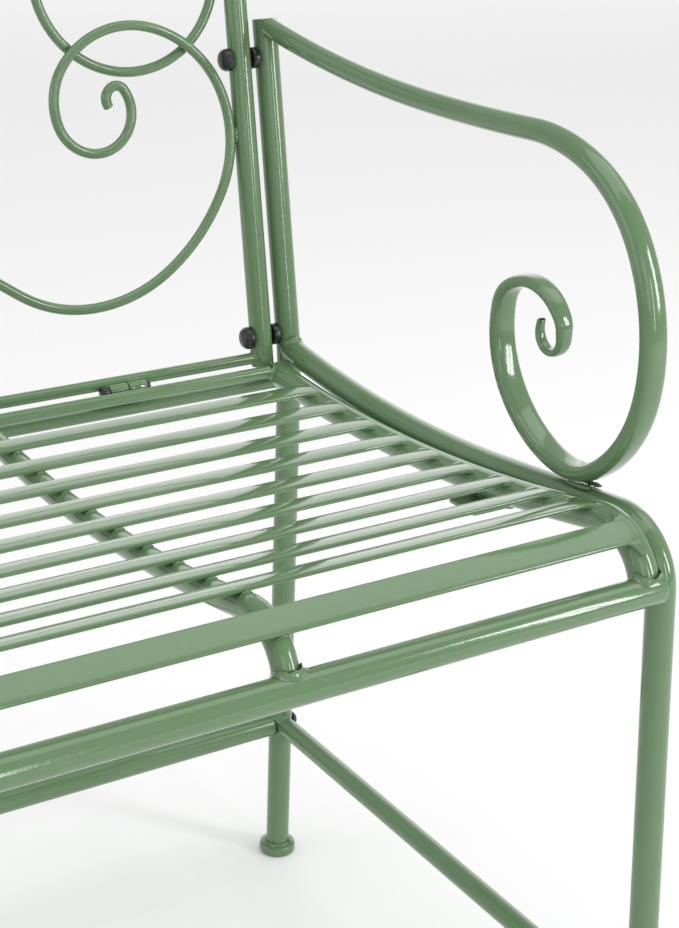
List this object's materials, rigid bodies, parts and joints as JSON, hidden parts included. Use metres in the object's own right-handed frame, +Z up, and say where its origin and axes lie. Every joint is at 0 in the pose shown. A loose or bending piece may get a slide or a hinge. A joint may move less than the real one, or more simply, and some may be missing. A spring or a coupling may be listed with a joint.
{
  "type": "garden bench",
  "caption": "Two-seat garden bench in painted steel tube, with a curved slatted seat, scroll armrests and a scrollwork backrest that folds forward onto the seat.",
  "frame": {"origin": "on the floor, under the centre of the bounding box", "axes": "+X towards the sitter's left, along the seat; the bench faces -Y; +Z up"},
  "size_m": [1.051, 0.5508, 0.8952],
  "materials": {
    "green_paint": "glossy sage-green powder coat",
    "black_fastener": "satin black"
  },
  "bodies": {
    "frame": {"armrest_scroll_left": "green_paint", "armrest_scroll_right": "green_paint", "back_spacer_lower_left": "black_fastener", "back_spacer_lower_right": "black_fastener", "back_spacer_upper_left": "black_fastener", "back_spacer_upper_right": "black_fastener", "front_foot_left": "green_paint", "front_foot_right": "green_paint", "hinge_bolt_left": "black_fastener", "hinge_bolt_right": "black_fastener", "hinge_seat_knuckle_left": "green_paint", "hinge_seat_knuckle_right": "green_paint", "rear_cross_bar": "green_paint", "rear_foot_left": "green_paint", "rear_foot_right": "green_paint", "rear_post_left": "green_paint", "rear_post_right": "green_paint", "rear_stretcher": "green_paint", "seat_bolt_left": "black_fastener", "seat_bolt_right": "black_fastener", "seat_bracket_left": "green_paint", "seat_bracket_right": "green_paint", "seat_front_flat": "green_paint", "seat_front_tube": "green_paint", "seat_rear_rail": "green_paint", "seat_side_rail_left": "green_paint", "seat_side_rail_right": "green_paint", "seat_slat_1": "green_paint", "seat_slat_2": "green_paint", "seat_slat_3": "green_paint", "seat_slat_4": "green_paint", "seat_slat_5": "green_paint", "seat_slat_6": "green_paint", "seat_slat_7": "green_paint", "seat_slat_8": "green_paint", "seat_slat_9": "green_paint", "seat_support_centre": "green_paint", "seat_support_left": "green_paint", "seat_support_right": "green_paint", "side_stretcher_left": "green_paint", "side_stretcher_right": "green_paint", "side_tube_left": "green_paint", "side_tube_right": "green_paint", "stretcher_bolt_left": "black_fastener", "stretcher_bolt_right": "black_fastener"},
    "backrest": {"back_bolt_lower_left": "black_fastener", "back_bolt_lower_right": "black_fastener", "back_bolt_upper_left": "black_fastener", "back_bolt_upper_right": "black_fastener", "back_bottom_rail": "green_paint", "back_centre_ring": "green_paint", "back_ring_left": "green_paint", "back_ring_right": "green_paint", "back_scroll_left": "green_paint", "back_scroll_right": "green_paint", "back_top_rail": "green_paint", "back_upright_left": "green_paint", "back_upright_right": "green_paint", "hinge_back_knuckle_left": "green_paint", "hinge_back_knuckle_right": "green_paint"}
  },
  "joints": [
    {"name": "backrest_fold", "type": "hinge", "parent": "frame", "child": "backrest", "pos_m": [0, 0.189, 0.46], "axis": [1, 0, 0], "range_deg": [0, 80]}
  ]
}
